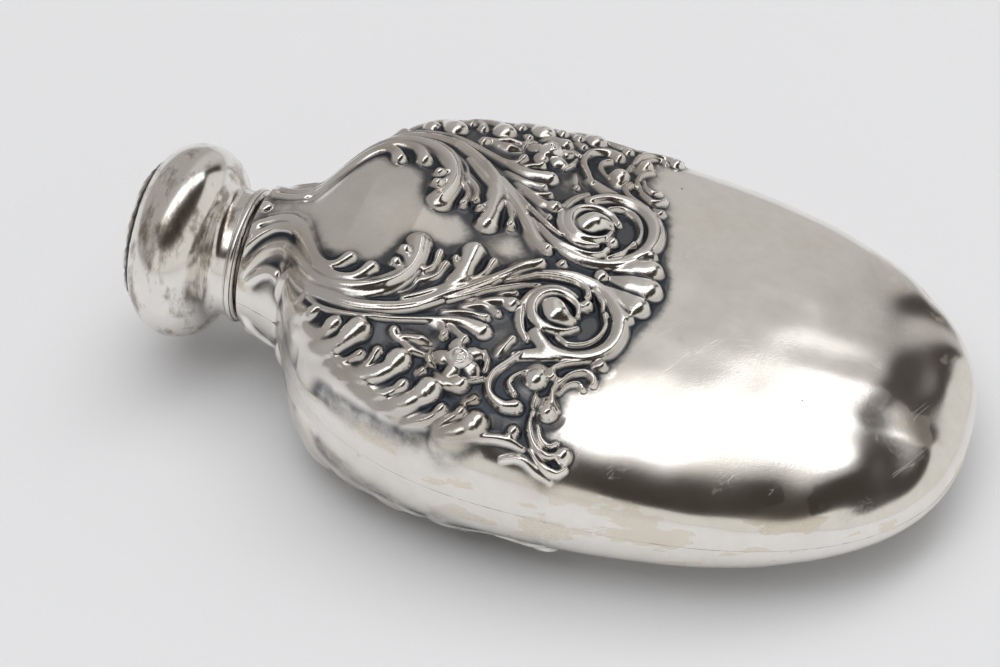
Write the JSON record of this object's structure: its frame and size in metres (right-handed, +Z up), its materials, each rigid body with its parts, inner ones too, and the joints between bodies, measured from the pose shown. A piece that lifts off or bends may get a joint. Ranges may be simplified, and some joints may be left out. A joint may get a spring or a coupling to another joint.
{
  "type": "hip flask",
  "caption": "Embossed silver hip flask lying on its back, with a plain neck and a round mushroom-shaped screw cap lined with cork.",
  "frame": {"origin": "middle of the footprint box, on the surface that the flask lies on", "axes": "+Z up out of the front face, +X from the cap towards the base end, Y across the body; the neck's axis is turned 4.7 degrees about Y, neck end up"},
  "size_m": [0.139, 0.0796, 0.0381],
  "materials": {
    "silver_front": "embossed and polished silver, dark in the hollows",
    "silver_back": "embossed and polished silver, dark in the hollows",
    "silver_solder": "silver solder, slightly yellow",
    "silver_thread": "dull silver",
    "silver_cap": "polished silver, pitted",
    "silver_cap_top": "embossed and polished silver, dark in the hollows",
    "cork": "cut cork"
  },
  "bodies": {
    "flask": {"front_shell": "silver_front", "back_shell": "silver_back", "seam_solder": "silver_solder", "neck_thread_tube": "silver_thread"},
    "cap_seal": {"cap_cork": "cork", "cap_cork_plate": "silver_thread"},
    "cap": {"cap_shell": "silver_cap", "cap_top_disc": "silver_cap_top", "cap_rim_ring": "silver_cap", "cap_thread_sleeve": "silver_thread"}
  },
  "joints": [
    {"name": "cap_lift", "type": "slide", "parent": "flask", "child": "cap_seal", "axis": [-0.9966, 0, 0.0819], "range_m": [0, 0.0075]},
    {"name": "cap_turn", "type": "hinge", "parent": "cap_seal", "child": "cap", "pos_m": [-0.04908, 0, 0.02081], "axis": [-0.9966, 0, 0.0819], "range_deg": [0, 900]}
  ],
  "couplings": [
    {"joint": "cap_lift", "follows": "cap_turn", "m_per_rad": 0.00047746}
  ]
}
